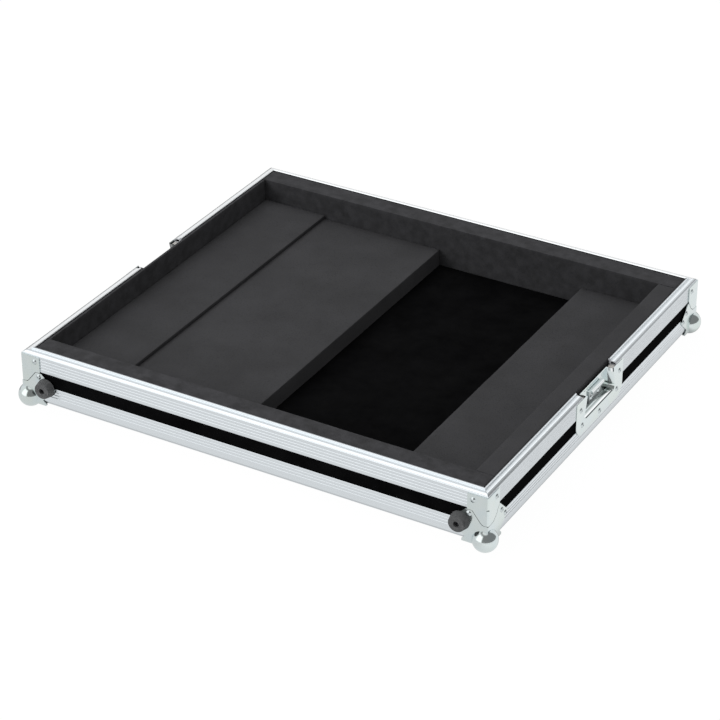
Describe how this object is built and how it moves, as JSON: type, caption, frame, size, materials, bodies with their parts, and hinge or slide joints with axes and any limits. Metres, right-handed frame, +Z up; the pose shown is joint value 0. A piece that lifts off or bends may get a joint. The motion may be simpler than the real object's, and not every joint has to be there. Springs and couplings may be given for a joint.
{
  "type": "flight case base tray",
  "caption": "Shallow base tray of a lift-off-lid flight case: laminated panels in aluminium profiles, ball corners, latch half dishes, rubber feet and foam blocks.",
  "frame": {"origin": "under the middle of the tray, in the plane that the four ball corners rest on", "axes": "+X to the right along the long side, +Y from the front side with the rubber feet to the back, +Z up"},
  "size_m": [0.5858, 0.5319, 0.0715],
  "materials": {
    "profile": "satin",
    "plated_steel": "satin",
    "laminated_panel": "satin",
    "foam": "matte",
    "rubber": "matte"
  },
  "bodies": {
    "root": {"back_bottom_edge": "profile", "back_foam_strip": "foam", "back_left_ball_corner": "plated_steel", "back_left_corner_brace": "plated_steel", "back_right_ball_corner": "plated_steel", "back_right_corner_brace": "plated_steel", "back_rim": "profile", "back_wall_panel": "laminated_panel", "ball_corner_rivets": "plated_steel", "bottom_edge_rivets": "plated_steel", "brace_rivets": "plated_steel", "floor_panel": "laminated_panel", "foot_screws": "plated_steel", "front_bottom_edge": "profile", "front_foam_strip": "foam", "front_left_ball_corner": "plated_steel", "front_left_corner_brace": "plated_steel", "front_right_ball_corner": "plated_steel", "front_right_corner_brace": "plated_steel", "front_rim": "profile", "front_wall_panel": "laminated_panel", "latch_dish_rivets": "plated_steel", "left_bottom_edge": "profile", "left_foam_block": "foam", "left_foam_lining": "foam", "left_foam_riser": "foam", "left_latch_dish": "plated_steel", "left_latch_strike": "plated_steel", "left_rim_back_length": "profile", "left_rim_front_length": "profile", "left_rubber_foot": "rubber", "left_wall_panel": "laminated_panel", "right_bottom_edge": "profile", "right_foam_block": "foam", "right_foam_strip": "foam", "right_latch_dish": "plated_steel", "right_latch_strike": "plated_steel", "right_rim_back_length": "profile", "right_rim_front_length": "profile", "right_rubber_foot": "rubber", "right_wall_panel": "laminated_panel", "strike_rivets": "plated_steel"}
  },
  "joints": []
}
